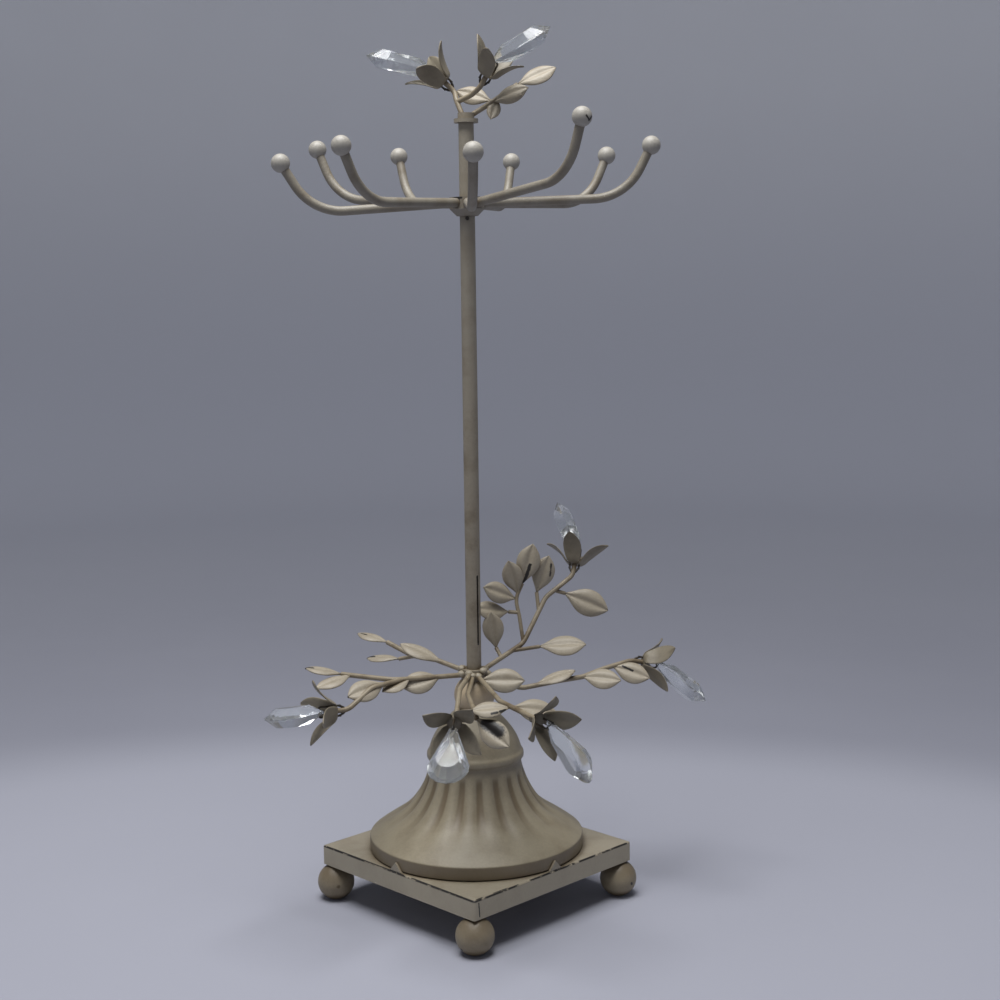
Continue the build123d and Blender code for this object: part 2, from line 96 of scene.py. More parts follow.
flake = put(worn, "TexNoise", {"Vector": place, "Scale": 330, "Detail": 4, "Roughness": 0.55}).outputs[0]
# Partly painted shade: the AO node finds hollows, creases and joins, and Recess browns them both for wax that
# sits there and as painted shade for the shade that falls in them.
occlusion = put(worn, "AmbientOcclusion", {"Distance": 0.006}, samples=6).outputs["AO"]
waxed = math_node(worn, "MULTIPLY", ramp(worn, patch, 0.42, 0.74), given["Patches"])
hollow_wax_and_shade = math_node(worn, "MULTIPLY", ramp(worn, occlusion, 0.95, 0.35), given["Recess"])
brown = math_node(worn, "ADD", waxed, hollow_wax_and_shade, clamp=True)
coat = mix(worn, brown, given["Paint"], given["Wax"])
shade = math_node(worn, "MULTIPLY_ADD", grain, 0.34)
shade.node.inputs[2].default_value = 0.83
coat = mix(worn, 1.0, coat, shade, "MULTIPLY")
soft_normal = put(worn, "Bevel", {"Radius": 0.0009}, samples=4).outputs[0]
true_normal = put(worn, "NewGeometry").outputs["Normal"]
facing = put(worn, "VectorMath", {0: soft_normal, 1: true_normal}, operation="DOT_PRODUCT").outputs["Value"]
edge = ramp(worn, facing, 0.985, 0.90)
flaked = math_node(worn, "ADD", flake, given["Chips"])
chip = math_node(worn, "MULTIPLY", edge, ramp(worn, flaked, 0.78, 0.84))
pit = ramp(worn, grain, 0.745, 0.775)
pit = math_node(worn, "MULTIPLY", pit, given["Chips"])
bare = math_node(worn, "ADD", chip, pit, clamp=True)
group_out = worn.nodes.new("NodeGroupOutput").inputs
worn.links.new(mix(worn, bare, coat, given["Bare"]), group_out["Color"])
matt = math_node(worn, "MULTIPLY_ADD", grain, 0.25)
matt.node.inputs[2].default_value = 0.36
worn.links.new(matt, group_out["Roughness"])
worn.links.new(math_node(worn, "SUBTRACT", grain, bare), group_out["Height"])


def painted(name, patches, recess, chips, paint=ivory, wax=brown_wax):
    """A finish of worn paint: how much wax lies in patches, how much wax and painted shade lie in hollows,
    and how much is chipped off.
    """
    finish = bpy.data.materials.new(name)
    finish.use_nodes = True
    tree = finish.node_tree
    shader = tree.nodes["Principled BSDF"]
    layer = tree.nodes.new("ShaderNodeGroup")
    layer.node_tree = worn
    for socket, value in {
        "Paint": paint, "Wax": wax, "Patches": patches, "Recess": recess, "Chips": chips,
    }.items():
        layer.inputs[socket].default_value = value
    bump = put(tree, "Bump", {"Height": layer.outputs["Height"], "Distance": 0.00025, "Strength": 0.45})
    tree.links.new(layer.outputs["Color"], shader.inputs["Base Color"])
    tree.links.new(layer.outputs["Roughness"], shader.inputs["Roughness"])
    tree.links.new(bump.outputs[0], shader.inputs["Normal"])
    return finish


mark = bpy.data.node_groups.new("dark_mark", "ShaderNodeTree")
for label, socket_type in (
    ("Start", "NodeSocketVector"),
    ("End", "NodeSocketVector"),
    ("Reach", "NodeSocketFloat"),
    ("Core", "NodeSocketFloat"),
):
    mark.interface.new_socket(label, in_out="INPUT", socket_type=socket_type)
mark.interface.new_socket("Mask", in_out="OUTPUT", socket_type="NodeSocketFloat")
given = mark.nodes.new("NodeGroupInput").outputs
place = put(mark, "TexCoord").outputs["Object"]
ragged = put(mark, "TexNoise", {"Vector": place, "Scale": 900, "Detail": 3}).outputs[0]
line = put(mark, "VectorMath", {0: given["End"], 1: given["Start"]}, operation="SUBTRACT").outputs[0]
offset = put(mark, "VectorMath", {0: place, 1: given["Start"]}, operation="SUBTRACT").outputs[0]
along = put(mark, "VectorMath", {0: offset, 1: line}, operation="DOT_PRODUCT").outputs["Value"]
length = put(mark, "VectorMath", {0: line, 1: line}, operation="DOT_PRODUCT").outputs["Value"]
share = math_node(mark, "DIVIDE", along, length, clamp=True)
nearest = put(mark, "VectorMath", {0: line, "Scale": share}, operation="SCALE").outputs[0]
away = put(mark, "VectorMath", {0: offset, 1: nearest}, operation="DISTANCE").outputs["Value"]
away = math_node(mark, "MULTIPLY", away, math_node(mark, "ADD", ragged, 0.5))
group_out = mark.nodes.new("NodeGroupOutput").inputs
mark.links.new(ramp(mark, away, given["Reach"], given["Core"]), group_out["Mask"])


def marked(finish, start, end, reach, core, colour=bare_iron_and_shade):
    """Darkens a finish along the line from start to end, fully within core of it and fading out by reach."""
    tree = finish.node_tree
    base = tree.nodes["Principled BSDF"].inputs["Base Color"]
    line = tree.nodes.new("ShaderNodeGroup")
    line.node_tree = mark
    for socket, value in {"Start": start, "End": end, "Reach": reach, "Core": core}.items():
        line.inputs[socket].default_value = value
    tree.links.new(mix(tree, line.outputs["Mask"], base.links[0].from_socket, colour), base)


def dress(node, finish):
    """Gives a CAD node its finish."""
    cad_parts[node].data.materials.clear()
    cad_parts[node].data.materials.append(finish)


tray_half = 0.060
tray_top = 0.030
tray_finish = painted("tray_paint", 0.25, 0.75, 0.08)
tree = tray_finish.node_tree
shader = tree.nodes["Principled BSDF"]
painted_colour = shader.inputs["Base Color"].links[0].from_socket
place = put(tree, "TexCoord").outputs["Object"]
turned = put(tree, "VectorRotate", {"Vector": place, "Angle": math.pi / 4}, rotation_type="Z_AXIS").outputs[0]
size = put(tree, "VectorMath", {0: turned}, operation="ABSOLUTE").outputs[0]
part = put(tree, "SeparateXYZ", {0: size}).outputs
outward = math_node(tree, "MAXIMUM", part["X"], part["Y"])
fold = ramp(tree, outward, tray_half - 0.0011, tray_half - 0.0006)
fold = math_node(tree, "MULTIPLY", fold, ramp(tree, part["Z"], tray_top - 0.0009, tray_top - 0.0005))
fold = math_node(tree, "MULTIPLY", fold, ramp(tree, part["Z"], tray_top + 0.0004, tray_top + 0.0002))
flaking = put(tree, "TexNoise", {"Vector": turned, "Scale": 95, "Detail": 6, "Roughness": 0.7}).outputs[0]
fold = math_node(tree, "MULTIPLY", fold, ramp(tree, flaking, 0.44, 0.50))
# Painted light: the folded sides are painted paler than the top, standing in for the light that falls on
# them.
side = ramp(tree, part["Z"], tray_top - 0.0006, tray_top - 0.0014)
side_painted_light = (0.47, 0.42, 0.31, 1)
side_with_painted_light = mix(tree, math_node(tree, "MULTIPLY", side, 0.45), painted_colour, side_painted_light)
tree.links.new(mix(tree, fold, side_with_painted_light, bare_iron_and_shade), shader.inputs["Base Color"])
# Each long chip: its two ends, how far it reaches and how far it is fully dark
for start, end, reach, core in (
    ((-0.0790, -0.0050, 0.0298), (-0.0420, -0.0420, 0.0298), 0.0006, 0.0002),
    ((-0.0330, -0.0510, 0.0298), (-0.0060, -0.0780, 0.0298), 0.0005, 0.0002),
    ((0.0022, -0.0826, 0.0284), (0.0026, -0.0822, 0.0212), 0.0005, 0.0002),
    ((0.0012, -0.0818, 0.0300), (0.0038, -0.0792, 0.0300), 0.0006, 0.0003),
    ((0.0095, -0.0735, 0.0300), (0.0165, -0.0667, 0.0300), 0.0005, 0.0002),
):
    marked(tray_finish, start, end, reach, core)
dress("base_plate", tray_finish)
plated_steel = (0.36, 0.35, 0.33, 1)
for node in ("foot_studs", "tie_rod", "base_washer", "base_nut", "pole_insert"):
    dress(node, painted("plated_steel_" + node, 0.1, 0.5, 0.1, paint=plated_steel))

# Ball feet: turned metal balls on studs, painted as the tray is. Wax has stayed brown on their upper halves,
# and the paint has small dark pits.
foot_ivory = (0.268, 0.222, 0.147, 1)
foot_wax = (0.13, 0.098, 0.06, 1)
foot_finish = painted("foot_paint", 0.4, 0.9, 0.22, paint=foot_ivory)
tree = foot_finish.node_tree
shader = tree.nodes["Principled BSDF"]
painted_colour = shader.inputs["Base Color"].links[0].from_socket
part = put(tree, "SeparateXYZ", {0: put(tree, "TexCoord").outputs["Object"]}).outputs
wax_ring = math_node(tree, "MULTIPLY", ramp(tree, part["Z"], 0.010, 0.018), 0.7)
tree.links.new(mix(tree, wax_ring, painted_colour, foot_wax), shader.inputs["Base Color"])
marked(foot_finish, (-0.0068, -0.0829, 0.0043), (-0.0064, -0.0832, 0.0044), 0.0008, 0.0004)
marked(foot_finish, (0.0846, -0.0072, 0.0088), (0.0848, -0.0070, 0.0082), 0.0009, 0.0005)
marked(foot_finish, (-0.0758, -0.0098, 0.0096), (-0.0752, -0.0098, 0.0098), 0.0012, 0.0003, brown_wax)
for node in ("foot_right", "foot_back", "foot_left", "foot_front"):
    dress(node, foot_finish)

# Bell: spun from sheet, its flare pressed into round flutes between a plain cushion and a bead. It stands
# on the tray inside the four tabs, and wax has stayed brown in the flutes.
bell_ivory = (0.275, 0.238, 0.166, 1)
flutes = 18
columns = 8
flute_turn = math.radians(15)
# The bell's profile: the radius of each ring and its height above the tray, in millimetres
bell_rings = [
    (58.2, 0), (58.2, 0.4), (58.2, 3.4), (58.2, 6.6), (58.2, 7.2), (57.9, 7.7), (57.2, 8.2), (55.4, 9.6),
    (51.6, 12.4), (46.8, 15.6), (42.8, 18.2), (39.4, 20.6), (36.2, 23.6), (33.2, 27.4), (30.6, 31.6),
    (28.5, 35.8), (26.9, 39.8), (25.8, 43.4), (25.2, 45.6), (25.0, 47.6), (25.0, 49.0), (25.3, 49.5),
    (26.2, 49.8), (26.4, 50.4), (26.4, 52.2), (26.1, 53.2), (25.4, 54.0), (25.0, 54.9), (24.4, 57.2),
    (23.0, 60.8), (20.6, 64.8), (17.5, 68.8), (14.0, 72.4), (11.0, 75.2), (10.4, 76.0),
]
# How deep the flutes are at the heights of those rings, and the share of it at each column of a flute
flute_depths = {
    12.4: 0.2, 15.6: 0.7, 18.2: 1.2, 20.6: 1.6, 23.6: 1.9,
    27.4: 2.0, 31.6: 2.0, 35.8: 1.9, 39.8: 1.5, 43.4: 0.4,
}
flute_section = {0: 1.0, 1: 0.85, 2: 0.42, 3: 0.05, 5: 0.05, 6: 0.42, 7: 0.85}


def pick(test):
    """In edit mode, selects the points of the piece whose place passes the test."""
    work = bmesh.from_edit_mesh(bpy.context.object.data)
    for point in work.verts:
        point.select_set(test(point.co))
    work.select_flush(True)
    work.select_flush(False)
    bmesh.update_edit_mesh(bpy.context.object.data)


def apply_all(piece):
    """Applies the piece's modifiers, then its place, so that the object sits at the origin."""
    bpy.ops.object.select_all(action="DESELECT")
    bpy.context.view_layer.objects.active = piece
    piece.select_set(True)
    for modifier in list(piece.modifiers):
        bpy.ops.object.modifier_apply(modifier=modifier.name)
    bpy.ops.object.transform_apply(location=True, rotation=True, scale=True)


bpy.ops.object.select_all(action="DESELECT")
start_radius = bell_rings[0][0] / 1000
bpy.ops.mesh.primitive_circle_add(vertices=flutes * columns, radius=start_radius, location=(0, 0, tray_top))
bell = bpy.context.object
bell.name = "fluted_bell"
bpy.ops.object.mode_set(mode="EDIT")
bpy.ops.mesh.select_all(action="SELECT")
for (radius, height), (next_radius, next_height) in zip(bell_rings, bell_rings[1:]):
    rise = (next_height - height) / 1000
    bpy.ops.mesh.extrude_edges_move(TRANSFORM_OT_translate={"value": (0, 0, rise)})
    shrink = next_radius / radius
    bpy.ops.transform.resize(value=(shrink, shrink, 1), center_override=(0, 0, tray_top))
bpy.ops.mesh.edge_face_add()
ring_radius = {height: radius for radius, height in bell_rings}
for height, depth in flute_depths.items():
    for column, share in flute_section.items():

        def in_flute(co):
            turn = round((math.atan2(co.y, co.x) - flute_turn) / math.tau * flutes * columns) % columns
            return abs(co.z * 1000 - height) < 0.2 and turn == column

        pick(in_flute)
        shrink = 1 - depth * share / ring_radius[height]
        bpy.ops.transform.resize(value=(shrink, shrink, 1), center_override=(0, 0, tray_top))
pick(lambda co: co.z < 1e-5)
bpy.ops.mesh.edge_face_add()
bpy.ops.mesh.select_all(action="SELECT")
bpy.ops.mesh.normals_make_consistent(inside=False)
bpy.ops.object.mode_set(mode="OBJECT")
bell.modifiers.new("round", "SUBSURF").levels = 1
apply_all(bell)
bpy.ops.object.shade_smooth_by_angle(angle=math.radians(40))
bell_finish = painted("bell_paint", 0.3, 0.9, 0.05, paint=bell_ivory)
tree = bell_finish.node_tree
shader = tree.nodes["Principled BSDF"]
painted_colour = shader.inputs["Base Color"].links[0].from_socket
part = put(tree, "SeparateXYZ", {0: put(tree, "TexCoord").outputs["Object"]}).outputs
angle = math_node(tree, "ARCTAN2", part["Y"], part["X"])
angle = math_node(tree, "MULTIPLY", math_node(tree, "SUBTRACT", angle, flute_turn), flutes)
groove = ramp(tree, math_node(tree, "COSINE", angle), 0.05, 0.85)
groove = math_node(tree, "MULTIPLY", groove, ramp(tree, part["Z"], tray_top + 0.012, tray_top + 0.030))
groove = math_node(tree, "MULTIPLY", groove, ramp(tree, part["Z"], tray_top + 0.045, tray_top + 0.041))
rim = ramp(tree, part["Z"], tray_top + 0.0078, tray_top + 0.0070)
rim = math_node(tree, "MULTIPLY", rim, 0.75)
stain = math_node(tree, "MULTIPLY", math_node(tree, "MAXIMUM", groove, rim), 0.72)
tree.links.new(mix(tree, stain, painted_colour, brown_wax), shader.inputs["Base Color"])
bell.data.materials.append(bell_finish)
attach(bell, "stand")
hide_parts("bell_pedestal")

# Pole, knob and collar: a rolled tube with an open seam stands on a ball knob. A cap closes its top, and a
# collar at its foot takes the branches. All are painted, and the tube is browner towards its foot.
pole_foot = 0.1225
pole_top = 0.4175
pole_radius = 0.004
pole_brown = (0.27, 0.236, 0.18, 1)
pole_ivory = (0.36, 0.327, 0.262, 1)
knob_ivory = (0.49, 0.395, 0.262, 1)


def copy_of(piece, name, place):
    """A copy with its own mesh, moved there."""
    twin = bpy.data.objects.new(name, piece.data.copy())
    bpy.context.scene.collection.objects.link(twin)
    twin.data.transform(place)
    return twin


def join(pieces, name):
    """Makes one piece of several, under the name given."""
    bpy.ops.object.select_all(action="DESELECT")
    for piece in pieces:
        piece.select_set(True)
    bpy.context.view_layer.objects.active = pieces[0]
    if len(pieces) > 1:
        bpy.ops.object.join()
    pieces[0].name = name
    return pieces[0]


pole_finish = painted("pole_paint", 0.6, 0.8, 0.1, paint=pole_brown)
tree = pole_finish.node_tree
shader = tree.nodes["Principled BSDF"]
painted_colour = shader.inputs["Base Color"].links[0].from_socket
part = put(tree, "SeparateXYZ", {0: put(tree, "TexCoord").outputs["Object"]}).outputs
upper = math_node(tree, "MULTIPLY", ramp(tree, part["Z"], 0.18, 0.36), 0.5)
tree.links.new(mix(tree, upper, painted_colour, pole_ivory), shader.inputs["Base Color"])
# Painted shade: a black line is painted down the open seam for the shade inside the tube.
seam_turn = math.radians(-51)
seam_shade_line = (pole_radius * math.cos(seam_turn), pole_radius * math.sin(seam_turn))
marked(pole_finish, (*seam_shade_line, 0.1425), (*seam_shade_line, 0.1795), 0.0007, 0.0004)
for node in ("pole", "top_cap", "spray_collar"):
    dress(node, pole_finish)
dress("neck_ball", painted("knob_paint", 0.35, 0.6, 0.1, paint=knob_ivory))
bpy.ops.object.select_all(action="DESELECT")
bpy.ops.mesh.primitive_ico_sphere_add(subdivisions=2, radius=1, location=(0, 0, 0))
bead = bpy.context.object
bpy.ops.object.mode_set(mode="EDIT")
bpy.ops.mesh.select_all(action="SELECT")
bpy.ops.transform.vertex_random(offset=0.16, seed=4)
bpy.ops.object.mode_set(mode="OBJECT")
bead.modifiers.new("flow", "SUBSURF").levels = 1
apply_all(bead)
bpy.ops.object.shade_smooth()
weld_reach = 0.0066
weld_width = 0.0026
weld_height = 0.0023
# Each weld bead: its azimuth, its height above the foot of the pole and its length out along the wire
weld_beads = (
    (155, 5.0, 3.4), (204, 3.6, 3.6), (-95, 3.2, 3.4), (-112, 4.4, 2.8), (-70, 3.0, 3.2),
    (-10, 3.2, 3.4), (35, 4.4, 3.0), (180, 5.8, 2.4), (-42, 5.4, 2.6), (95, 4.0, 2.6),
)
welds = []
for azimuth, height, length in weld_beads:
    turn = Matrix.Rotation(math.radians(azimuth), 4, "Z")
    spot = turn @ Matrix.Translation((weld_reach, 0, pole_foot + height / 1000))
    shape = Matrix.Diagonal((length / 1000, weld_width, weld_height, 1))
    welds.append(copy_of(bead, "weld_bead", spot @ shape))
bpy.data.objects.remove(bead)
weld = join(welds, "collar_welds")
weld.data.materials.append(painted("weld_paint", 0.4, 0.9, 0.12))
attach(weld, "stand")

# Carousel: nine rods bent up by hand and welded to a turned hub that runs on a pin. Metal balls close
# their ends, paler than the rods because the wax was wiped off them.
arm_brown = (0.245, 0.221, 0.178, 1)
arm_ball_ivory = (0.37, 0.35, 0.31, 1)
pin_black = (0.03, 0.026, 0.022, 1)
arm_finish = painted("arm_paint", 0.45, 0.9, 0.14, paint=arm_brown)
for number in range(1, 10):
    dress(f"arm_{number}", arm_finish)
hub_finish = painted("hub_paint", 0.45, 0.9, 0.14, paint=arm_brown)
# Painted shade: a dark T painted on the hub stands for the shaded gap there.
marked(hub_finish, (-0.0064, -0.0068, 0.3793), (-0.0030, -0.0088, 0.3793), 0.0010, 0.0006)
marked(hub_finish, (-0.0046, -0.0081, 0.3793), (-0.0042, -0.0082, 0.3770), 0.0009, 0.0005)
dress("hub", hub_finish)
ball_finish = painted("arm_ball_paint", 0.15, 0.8, 0.12, paint=arm_ball_ivory)
marked(ball_finish, (0.0583, -0.0767, 0.4129), (0.0596, -0.0752, 0.4108), 0.0006, 0.0003)
marked(ball_finish, (0.0596, -0.0752, 0.4108), (0.0609, -0.0741, 0.4127), 0.0006, 0.0003)
dress("arm_balls", ball_finish)
dress("hub_pin", painted("pin_iron", 0.2, 0.6, 0.2, paint=pin_black))

# Branches: iron wire bent into sprays and brazed to the collar and the cap, painted thinly so that the
# brown shows through. The bails that carry the drops are of thinner wire, left dark.
stem_brown = (0.27, 0.225, 0.155, 1)
bail_black = (0.02, 0.018, 0.016, 1)
stem_finish = painted("stem_paint", 0.9, 0.8, 0.18, paint=stem_brown)
for node in ("left_back", "left", "front", "front_right", "right", "tall"):
    dress("branch_" + node, stem_finish)
dress("top_stems", stem_finish)
bail_finish = painted("bail_iron", 0.2, 0.5, 0.2, paint=bail_black)
dress("drop_wires", bail_finish)

# Leaves: stamped from sheet with a plump half on each side of a pressed midrib, then brazed by the stalk to
# their wires. Brown wax and painted shade stay along the midrib, and the paint is chipped at the rims.
leaf_length = 0.025
leaf_width = 0.015
leaf_sheet = 0.0012
leaf_ivory = (0.345, 0.302, 0.231, 1)
# The share of the full width at each column along a leaf, and the lift in millimetres at each row across it
leaf_outline = (0.10, 0.27, 0.54, 0.79, 0.94, 1.0, 1.0, 0.93, 0.76, 0.46, 0.06)
leaf_section = (0.0, 1.1, 1.8, 1.6, 0.6, 1.6, 1.8, 1.1, 0.0)
# Each leaf: its base from the foot or the top of the pole in millimetres, azimuth, elevation, the tilt of
# its face from up towards the front, and its size
leaf_places = {
    "leaves_left_back": [
        ((-49, 31, 14), 155, 10, 2, 0.78),
        ((-42, 22, 6.5), 156, -4, 4, 0.82),
        ((-18, 10, 7.4), 164, 20, 8, 1.02),
    ],
    "leaves_left": [
        ((-71, -8, 5.5), 180, 10, 3, 0.8),
        ((-66, -10, 5.3), 212, -12, 10, 0.85),
        ((-18, -8, 3.5), 203, -9, 55, 0.9),
        ((-34, -14.7, 4.2), 216, -14, 25, 0.72),
        ((-47, -23.5, 4.2), 216, -10, 50, 0.92),
    ],
    "leaves_front": [((2, -50, -8.5), -37, -29, 75, 0.95)],
    "leaves_front_right": [
        ((20, -53, -1.8), 5, -10, 45, 0.95),
        ((19, -49.8, -2.9), 184, -3, 30, 0.8),
        ((3.7, -10.1, 1.7), -4, 0, 60, 0.95),
    ],
    "leaves_right": [
        ((33, -2.5, -3.3), 15, 16, 5, 0.95),
        ((59, 4, -0.5), -14, -3, 50, 0.85),
        ((76, 12.3, 3), -12, -16, 55, 0.85),
    ],
    "leaves_tall": [
        ((51, 42, 38.5), -5, -22, 75, 1.06),
        ((36, 22, 12.5), 0, 2, 34, 1.04),
        ((27, 31, 46.5), 20, 73, 90, 0.92),
        ((35, 36, 40.5), 0, 71, 90, 0.88),
        ((24.4, 29, 41), 200, 74, 80, 0.8),
        ((23, 28, 38.5), 205, 23, 60, 0.85),
        ((19, 26, 31.5), 208, 10, 50, 0.85),
        ((12, 16, 13.5), 170, 82, 85, 0.82),
    ],
    "top_leaves": [
        ((14, 0, 10.5), -13, 19, 55, 0.8),
        ((27, 4, 19.5), 6, 23, 45, 0.88),
        ((16.5, 0.8, 12.2), 230, -62, 80, 0.5),
        ((13, 6, 11.5), 160, 18, 60, 0.8),
    ],
}


def heading(azimuth, elevation):
    """Unit vector; azimuth 0 is +X and 90 is +Y, elevation is up from level."""
    level = math.cos(math.radians(elevation))
    turn = math.radians(azimuth)
    return Vector((level * math.cos(turn), level * math.sin(turn), math.sin(math.radians(elevation))))


def set_down(origin, along, up):
    """Turns X along and Z as near up as it can be, at the origin given."""
    along = along.normalized()
    up = (up - along * up.dot(along)).normalized()
    side = up.cross(along)
    return Matrix.Translation(origin) @ Matrix((along, side, up)).transposed().to_4x4()


bpy.ops.object.select_all(action="DESELECT")
bpy.ops.mesh.primitive_grid_add(x_subdivisions=10, y_subdivisions=8, size=1, location=(0, 0, 0))
leaf = bpy.context.object
bpy.ops.object.mode_set(mode="EDIT")
bpy.ops.mesh.select_all(action="SELECT")
bpy.ops.transform.translate(value=(0.5, 0, 0))
bpy.ops.transform.resize(value=(leaf_length, leaf_width, 1), center_override=(0, 0, 0))
for row, lift in enumerate(leaf_section):
    across = (row / 8 - 0.5) * leaf_width
    pick(lambda co: abs(co.y - across) < leaf_width / 20)
    bpy.ops.transform.translate(value=(0, 0, lift / 1000))
for column, share in enumerate(leaf_outline):
    reach = column / 10 * leaf_length
    pick(lambda co: abs(co.x - reach) < leaf_length / 40)
    bpy.ops.transform.resize(value=(1, share, 0.25 + 0.75 * share), center_override=(reach, 0, 0))
bpy.ops.object.mode_set(mode="OBJECT")
sheet = leaf.modifiers.new("sheet", "SOLIDIFY")
sheet.thickness = leaf_sheet
sheet.offset = -1
leaf.modifiers.new("round", "SUBSURF").levels = 2
apply_all(leaf)
bpy.ops.object.shade_smooth()
# Bare iron shows on some leaves, and painted shade darkens the hollow of the front leaf and the slit along
# the midrib of one tall leaf: the node and number of the leaf, then the two ends of the mark along its
# length, across it and up from its face, how far it reaches and how far it is fully dark, in millimetres
leaf_marks = {
    # Painted shade: the hollow of the scooped front leaf is painted dark, where shade falls inside it.
    ("leaves_front", 0): [((6, 1.6, 1), (15, 2.6, 1), 4.4, 2.2)],
    ("leaves_front_right", 1): [
        ((3, 2.2, 1), (6.5, 3.6, 1), 0.9, 0.5),
        ((8.5, 4.3, 1), (12, 4.9, 1), 0.9, 0.5),
    ],
    # Painted shade: the slit along this tall leaf's midrib is painted dark, where shade falls inside it.
    ("leaves_tall", 2): [((1, -0.8, 1), (12, -1.6, 1), 1.2, 0.8)],
    ("leaves_tall", 3): [((13, -4.5, 1), (20, -3, 1), 0.9, 0.4)],
    ("leaves_right", 2): [((6, 2, 1), (13, 1, 1), 0.8, 0.4)],
    ("leaves_left_back", 0): [((18, 0, 1), (22, 0, 0), 1.2, 0.4)],
    ("leaves_left_back", 1): [((20, 0, 1), (24, 0, 0), 1.8, 0.9)],
    ("leaves_left", 0): [((20, 0, 1), (24, 0, 0), 1.4, 0.7)],
}
for node, rows in leaf_places.items():
    leaf_finish = painted(node + "_paint", 0.25, 0.75, 0.22, paint=leaf_ivory)
    root = Vector((0, 0, pole_top if node == "top_leaves" else pole_foot))
    twins = []
    for number, (base, azimuth, elevation, tilt, scale) in enumerate(rows):
        spot = set_down(root + Vector(base) / 1000, heading(azimuth, elevation), heading(-90, 90 - tilt))
        spot = spot @ Matrix.Scale(scale, 4)
        twins.append(copy_of(leaf, node + "_one", spot))
        for start, end, reach, core in leaf_marks.get((node, number), []):
            ends = [spot @ (Vector(point) / 1000) for point in (start, end)]
            marked(leaf_finish, *ends, reach / 1000, core / 1000)
    spray = join(twins, "stamped_" + node)
    spray.data.materials.append(leaf_finish)
    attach(spray, "stand")
    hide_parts(node)
bpy.data.objects.remove(leaf)

# Flowers: crosses of thin sheet with the four petals bent up into a cup and brazed to their stems. The paint
# on them is thin, and wax has darkened it. The loop of a bail shows behind each one.
petal_length = 18.5
cup_spare = 1.5
petal_flare = 2.2
flower_base_radius = 3.9
petal_half_widths = (1.6, 3.6, 4.4, 5.0, 5.4, 5.4, 5.0, 4.1, 2.6, 0.3)
petal_sheet = 0.0008
petal_root = (0.0016, 0.0003)
rib_start = 0.0042
rib_press = (0.0004, 0, -0.0003)
cup_floor = 0.5
button_flatness = 0.22
petal_brown = (0.225, 0.195, 0.142, 1)
petal_wax = (0.1, 0.08, 0.05, 1)
bail_half_width = 0.0027
bail_wire_radius = 0.0005
bail_stretch = 1.9
# Each flower: its base from the floor in millimetres, the azimuth and elevation that the cup faces, how far
# its petals open from its axis and are turned about it, how far the drop leans out of the cup, which way
# round the cup from up, and the turn of the drop about its length
flowers = {
    "left": ((-71, -44, 117.5), (206, 2), 48, 30, 26, -80, 1),
    "front": ((-9, -62, 115), (-95, -12), 50, 8, 17, 180, 90),
    "front_right": ((33, -72, 119), (-50, -8), 48, 33, 30, -173, 12),
    "right": ((93, 18, 126.5), (11, -10), 48, 11, 31, 180, 80),
    "tall": ((57, 49, 176.5), (72, 57), 52, 36, 32, -111, 115),
    "top_left": ((-11, 8, 439), (186, 42), 38, 28, 29, 168, 94),
    "top_right": ((11, -6, 440.5), (-30, 55), 40, 24, 34, 173, 119),
}


def cup_place(base, azimuth, elevation, lean, way, turn):
    """Puts a flower on its base, with Z the way its cup faces and X across it to a leg of its bail."""
    faces = heading(azimuth, elevation)
    sideways = Quaternion(faces, math.radians(way + 90)) @ heading(azimuth, elevation + 90)
    drop = Quaternion(sideways, math.radians(lean)) @ faces
    hole = Quaternion(drop, math.radians(turn)) @ sideways
    across = (hole - faces * hole.dot(faces)).normalized()
    return set_down(Vector(base) / 1000, across, faces)


def petal_point(share, opening):
    """A place on a petal's midline: out from the flower's axis and up from its base, in metres."""
    side = petal_length + cup_spare
    run = side * math.sin(math.radians(opening))
    rise = side * math.cos(math.radians(opening))
    place = share * petal_length / side
    bow = 4 * petal_flare * place * (1 - place) / side
    out = flower_base_radius + run * place - rise * bow
    return out / 1000, (rise * place + run * bow + cup_floor) / 1000


def bent_petal(opening):
    """One petal along X, bent out from the axis by the opening given in degrees."""
    bpy.ops.object.select_all(action="DESELECT")
    bpy.ops.mesh.primitive_grid_add(x_subdivisions=9, y_subdivisions=4, size=1, location=(0, 0, 0))
    petal = bpy.context.object
    bpy.ops.object.mode_set(mode="EDIT")
    bpy.ops.mesh.select_all(action="SELECT")
    bpy.ops.transform.translate(value=(1.5, 0, 0))
    for column, half in enumerate(petal_half_widths):
        reach = 1 + column / 9
        radius, height = petal_point((column - 1) / 8, opening) if column else petal_root
        pick(lambda co: abs(co.x - reach) < 0.02)
        bpy.ops.transform.resize(value=(1, half / 500, 1), center_override=(0, 0, 0))
        bpy.ops.transform.translate(value=(radius - reach, 0, height))
    pick(lambda co: abs(co.y) < 1e-5 and co.x > rib_start)
    bpy.ops.transform.translate(value=rib_press)
    bpy.ops.object.mode_set(mode="OBJECT")
    sheet = petal.modifiers.new("sheet", "SOLIDIFY")
    sheet.thickness = petal_sheet
    petal.modifiers.new("round", "SUBSURF").levels = 2
    apply_all(petal)
    bpy.ops.object.shade_smooth()
    return petal


